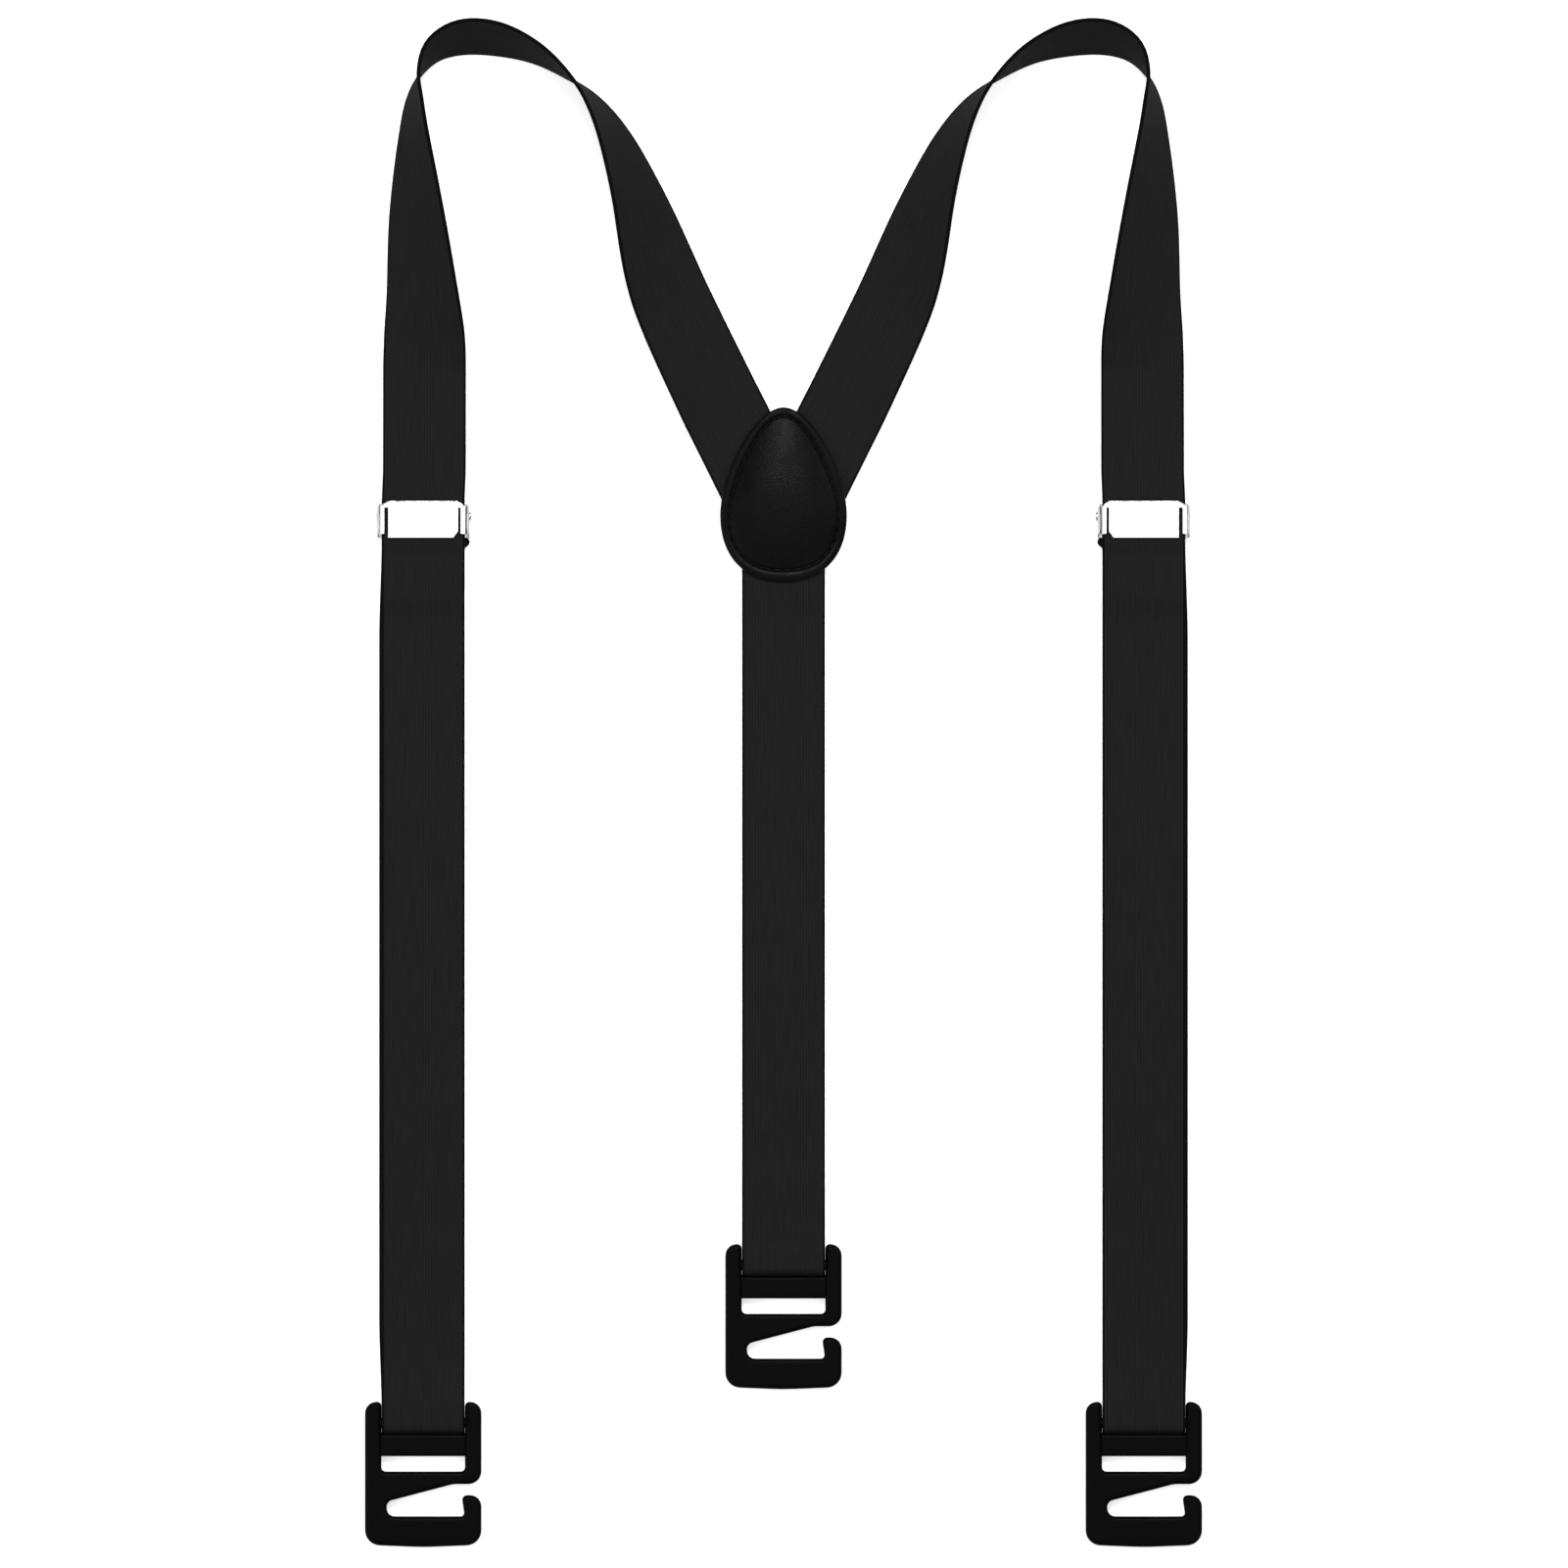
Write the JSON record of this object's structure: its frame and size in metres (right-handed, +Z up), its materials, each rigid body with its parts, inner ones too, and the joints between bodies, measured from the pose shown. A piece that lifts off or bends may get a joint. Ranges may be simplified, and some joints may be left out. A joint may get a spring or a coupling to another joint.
{
  "type": "suspenders",
  "caption": "Y-back elastic suspenders laid flat, with a teardrop leather patch, sliding adjusters and open G-shaped hooks.",
  "frame": {"origin": "middle of the flat layout, on the table under it", "axes": "+Y towards the shoulder loops, +Z up off the table to the outer face, +X to the right seen from above; left and right are as seen from above"},
  "size_m": [0.252, 0.4598, 0.0251],
  "materials": {
    "webbing": "woven elastic webbing, fine ribs along its length",
    "leather": "smooth black leather, satin with a soft gloss",
    "felt": "soft felt pad, hidden",
    "thread": "black polyester thread",
    "plastic": "moulded black plastic, satin",
    "chrome": "polished chrome-plated steel"
  },
  "bodies": {
    "yoke": {"left_shoulder_strap": "webbing", "left_upper_strap": "webbing", "right_shoulder_strap": "webbing", "right_upper_strap": "webbing", "back_strap": "webbing", "back_patch": "leather", "patch_pad": "felt", "front_patch": "leather", "patch_stitching": "thread"},
    "left_adjuster": {"left_adjuster_frame": "chrome", "left_outer_stud": "chrome", "left_inner_stud": "chrome", "left_sewn_end": "webbing", "left_sewn_end_stitching": "thread", "left_front_run": "webbing", "left_return_run": "webbing"},
    "left_lever": {"left_adjuster_lever": "chrome"},
    "left_loop": {"left_hook_loop": "webbing"},
    "left_hook": {"left_hook": "plastic"},
    "right_adjuster": {"right_adjuster_frame": "chrome", "right_outer_stud": "chrome", "right_inner_stud": "chrome", "right_sewn_end": "webbing", "right_sewn_end_stitching": "thread", "right_front_run": "webbing", "right_return_run": "webbing"},
    "right_lever": {"right_adjuster_lever": "chrome"},
    "right_loop": {"right_hook_loop": "webbing"},
    "right_hook": {"right_hook": "plastic"},
    "back_loop": {"back_hook_loop": "webbing", "back_loop_stitching": "thread"},
    "back_hook": {"back_hook": "plastic"}
  },
  "joints": [
    {"name": "left_adjuster_slide", "type": "slide", "parent": "yoke", "child": "left_adjuster", "axis": [0, 1, 0], "range_m": [-0.24, 0.03], "deforming": ["left_upper_strap"]},
    {"name": "left_loop_slide", "type": "slide", "parent": "left_adjuster", "child": "left_loop", "axis": [0, 1, 0], "range_m": [-0.015, 0.12], "deforming": ["left_front_run", "left_return_run"]},
    {"name": "left_lever_hinge", "type": "hinge", "parent": "left_adjuster", "child": "left_lever", "pos_m": [-0.1085, 0.08391, 0.00615], "axis": [-1, 0, 0], "range_deg": [0, 95]},
    {"name": "left_hook_hinge", "type": "hinge", "parent": "left_loop", "child": "left_hook", "pos_m": [-0.1085, -0.19294, 0.0031], "axis": [-1, 0, 0], "range_deg": [0, 110]},
    {"name": "right_adjuster_slide", "type": "slide", "parent": "yoke", "child": "right_adjuster", "axis": [0, 1, 0], "range_m": [-0.24, 0.03], "deforming": ["right_upper_strap"]},
    {"name": "right_loop_slide", "type": "slide", "parent": "right_adjuster", "child": "right_loop", "axis": [0, 1, 0], "range_m": [-0.015, 0.12], "deforming": ["right_front_run", "right_return_run"]},
    {"name": "right_lever_hinge", "type": "hinge", "parent": "right_adjuster", "child": "right_lever", "pos_m": [0.1085, 0.08391, 0.00615], "axis": [-1, 0, 0], "range_deg": [0, 95]},
    {"name": "right_hook_hinge", "type": "hinge", "parent": "right_loop", "child": "right_hook", "pos_m": [0.1085, -0.19294, 0.0031], "axis": [-1, 0, 0], "range_deg": [0, 110]},
    {"name": "back_strap_stretch", "type": "slide", "parent": "yoke", "child": "back_loop", "axis": [0, -1, 0], "range_m": [0, 0.06], "stiffness_N_per_m": 125, "deforming": ["back_strap"]},
    {"name": "back_hook_hinge", "type": "hinge", "parent": "back_loop", "child": "back_hook", "pos_m": [0, -0.14544, 0.0031], "axis": [-1, 0, 0], "range_deg": [0, 110]}
  ],
  "couplings": [
    {"joint": "left_loop_slide", "follows": "left_adjuster_slide", "ratio": -0.5},
    {"joint": "right_loop_slide", "follows": "right_adjuster_slide", "ratio": -0.5}
  ]
}
